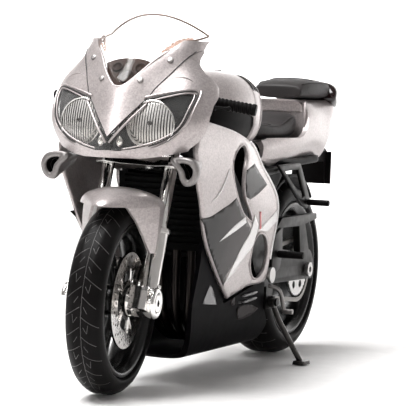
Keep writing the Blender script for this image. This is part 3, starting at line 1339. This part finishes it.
def axle_ends():
    """Thick ring and socket on each fork foot, with clamp bolts beside it, and a nut on the right."""
    place = Matrix.Translation(FRONT_CENTRE) @ WHEEL_TURN
    ring = [(7.3, 1.5), (7.3, 2.65), (7.75, 2.75), (8.1, 2.5), (8.15, 1.95), (8.0, 1.6), (7.6, 1.5)]
    bolt = [(7.2, 0.02), (7.2, 0.42), (7.6, 0.42), (7.75, 0.3), (7.75, 0.02)]
    nut = [(7.9, 1.5), (7.9, 2.3), (8.6, 2.3), (8.85, 2.05), (8.85, 1.65), (8.7, 1.5)]
    socket = [(7.2, 0.02), (7.2, 1.48), (7.9, 1.48), (7.95, 1.3), (7.6, 1.1), (7.55, 0.02)]
    bolt_spots = ((-2.2, 2.3), (-2.9, 0.6), (1.9, 2.6))
    foot = joined([lathe(ring, ORIGIN, 40)] + [lathe(bolt, Vector((0, y, z)), 16) for y, z in bolt_spots])
    bright = joined([foot, mirrored(foot), mirrored(lathe(nut, ORIGIN, 40))])
    tidy_normals(piece("fork_foot_rings", *bright, "caliper_metal", "fork_lower", turn=place, look="chrome"))
    hollow = lathe(socket, ORIGIN, 24)
    sockets = joined([hollow, mirrored(hollow)])
    tidy_normals(piece("fork_foot_sockets", *sockets, "caliper_metal", "fork_lower", turn=place,
                       look="black_plastic"))


def small_hardware():
    """Cover bolts on both sides of the engine."""
    low, high = (Vector(corner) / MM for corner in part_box("engine_covers"))
    centre = (low + high) / 2
    head = ((1.2, 0.02), (1.2, 0.36), (0.35, 0.36), (0.2, 0.02))
    heads = []
    for k in range(6):
        a = math.radians(20 + 60 * k)
        spot = Vector((0, centre.y + 4.3 * math.cos(a), centre.z + 4.3 * math.sin(a)))
        for side in (1, -1):
            heads.append(lathe([(side * (high.x - inset), r) for inset, r in head], spot, 6))
    tidy_normals(piece("cover_bolts", *joined(heads), "steel", "chassis", look="steel", smooth=False))


def rounded_box(name, low, high, radius, slot, body, taper=0.0):
    """Moulded box with round edges and a slight draft."""
    work = bmesh.new()
    bmesh.ops.create_cube(work, size=1.0)
    for v in work.verts:
        k = 1 - taper if v.co.z < 0 else 1.0
        v.co = Vector(((low[0] + high[0]) / 2 + v.co.x * (high[0] - low[0]) * k,
                       (low[1] + high[1]) / 2 + v.co.y * (high[1] - low[1]) * k,
                       (low[2] + high[2]) / 2 + v.co.z * (high[2] - low[2])))
    bmesh.ops.bevel(work, geom=list(work.edges), offset=radius, segments=4, profile=0.5, affect="EDGES")
    verts = [v.co.copy() for v in work.verts]
    work.verts.index_update()
    faces = [tuple(v.index for v in f.verts) for f in work.faces]
    work.free()
    return tidy_normals(piece(name, verts, faces, slot, body))


def hugger():
    """Guard close over the rear wheel, narrower at its ends."""
    steps = 32
    corners = ((18.35, -1), (18.35, 1), (18.95, 1), (18.95, -1))
    rings = []
    for k in range(steps + 1):
        a = math.radians(48 + 112 * k / steps)
        half = 4.25 - 0.5 * abs(2 * k / steps - 1) ** 3
        rings.append([REAR_CENTRE + Vector((lane * half, reach * math.cos(a), reach * math.sin(a)))
                      for reach, lane in corners])
    obj = tidy_normals(piece("rear_hugger", *lofted(rings), "black_plastic", "swingarm", smooth=False))
    edge = obj.modifiers.new("edges", "BEVEL")
    edge.width = 0.15 * MM
    edge.segments = 2
    applied(obj)


def frame_side(side, word):
    """Bead along the tray, plate over the frame and the rail below it, on one side."""
    tray_edge = [(side * 6.0, 13.0, 40.4), (side * 6.15, 20.0, 39.4), (side * 6.3, 30.0, 38.9),
                 (side * 6.2, 42.0, 39.3)]
    bar(word + "_tray_bead", curve(tray_edge, 8), 0.8, "black_plastic", "chassis", sides=12)

    def plate(y, z, depth):
        return Vector((side * (5.9 - depth), y, z))

    outline = curve([(9.5, 29.5), (17.5, 31.5), (25.5, 38.6), (14.0, 38.6), (9.2, 36.5)], 3, True)
    skin(word + "_frame_plate", outline, [], plate, 0.6, "black_plastic", "chassis", step=1.5)
    rail = [(side * 6.4, 9.0, 36.6), (side * 6.7, 16.0, 37.4), (side * 6.8, 26.0, 38.0)]
    bar(word + "_lower_rail", curve(rail, 6), 0.75, "grey_frame", "chassis", sides=12)


def dark_middle():
    """Battery box, its ribs and the trays that close the gap between fairing, seat and wheel."""
    rounded_box("battery_box", (-5.4, 8.6, 26.5), (5.4, 17.0, 39.0), 0.8, "black_plastic", "chassis", 0.12)
    for k in range(5):
        z = 28.5 + 2.1 * k
        path = [Vector((5.25 * t, 17.0 + 0.1 * (1 - t * t), z)) for t in (-0.9, -0.5, 0, 0.5, 0.9)]
        bar("battery_rib_%d" % k, path, 0.35, "black_plastic", "chassis")
    rounded_box("under_tray", (-6.0, 12.0, 38.9), (6.0, 45.0, 42.2), 0.7, "black_plastic", "chassis")
    hugger()
    for side, word in SIDES:
        frame_side(side, word)


def seat_back():
    """Silver wall behind the rider seat that climbs to the hump, with curved corners."""
    outline = [(-6.9, 40.6), (6.9, 40.6), (7.05, 44.0), (6.9, 48.0), (6.6, 50.9), (-6.6, 50.9), (-6.9, 48.0),
               (-7.05, 44.0)]

    def wall(x, z, depth):
        lean = 0.10 * (z - 45.0)
        return Vector((x, 35.0 + lean - 2.6 * (abs(x) / 7.0) ** 5 + depth, z))

    skin("seat_back_wall", outline, [], wall, 0.5, "silver_paint", "chassis")


def tail_cap():
    """Dark gloss cap that closes the tail behind the passenger pad."""
    # y, half width, low and high of its sections
    sections = [(51.4, 6.5, 50.9, 52.0), (52.2, 6.65, 50.0, 54.0), (53.6, 6.45, 49.0, 55.0),
                (55.4, 6.0, 48.5, 55.1), (57.0, 5.4, 48.4, 54.3), (57.9, 4.6, 49.2, 53.0)]
    rings = []
    for y, half, low, high in sections:
        middle, tall = (low + high) / 2, (high - low) / 2
        rings.append([Vector((half * signed_power(math.cos(a), 2 / 3), y,
                              middle + tall * signed_power(math.sin(a), 2 / 3))) for a in around(40)])
    tidy_normals(piece("tail_cap", *lofted(rings), "red_lens", "chassis", look="tail_gloss"))


MATERIALS = make_materials()
camera()
studio()
paint_nodes()
wheels()
brakes()
castings()
axle_ends()
small_hardware()
dark_middle()
seat_back()
tail_cap()
side_panels()
nose_details()
position_lamps()
screen_details()
dash_details()
intakes()
tank()
seats()
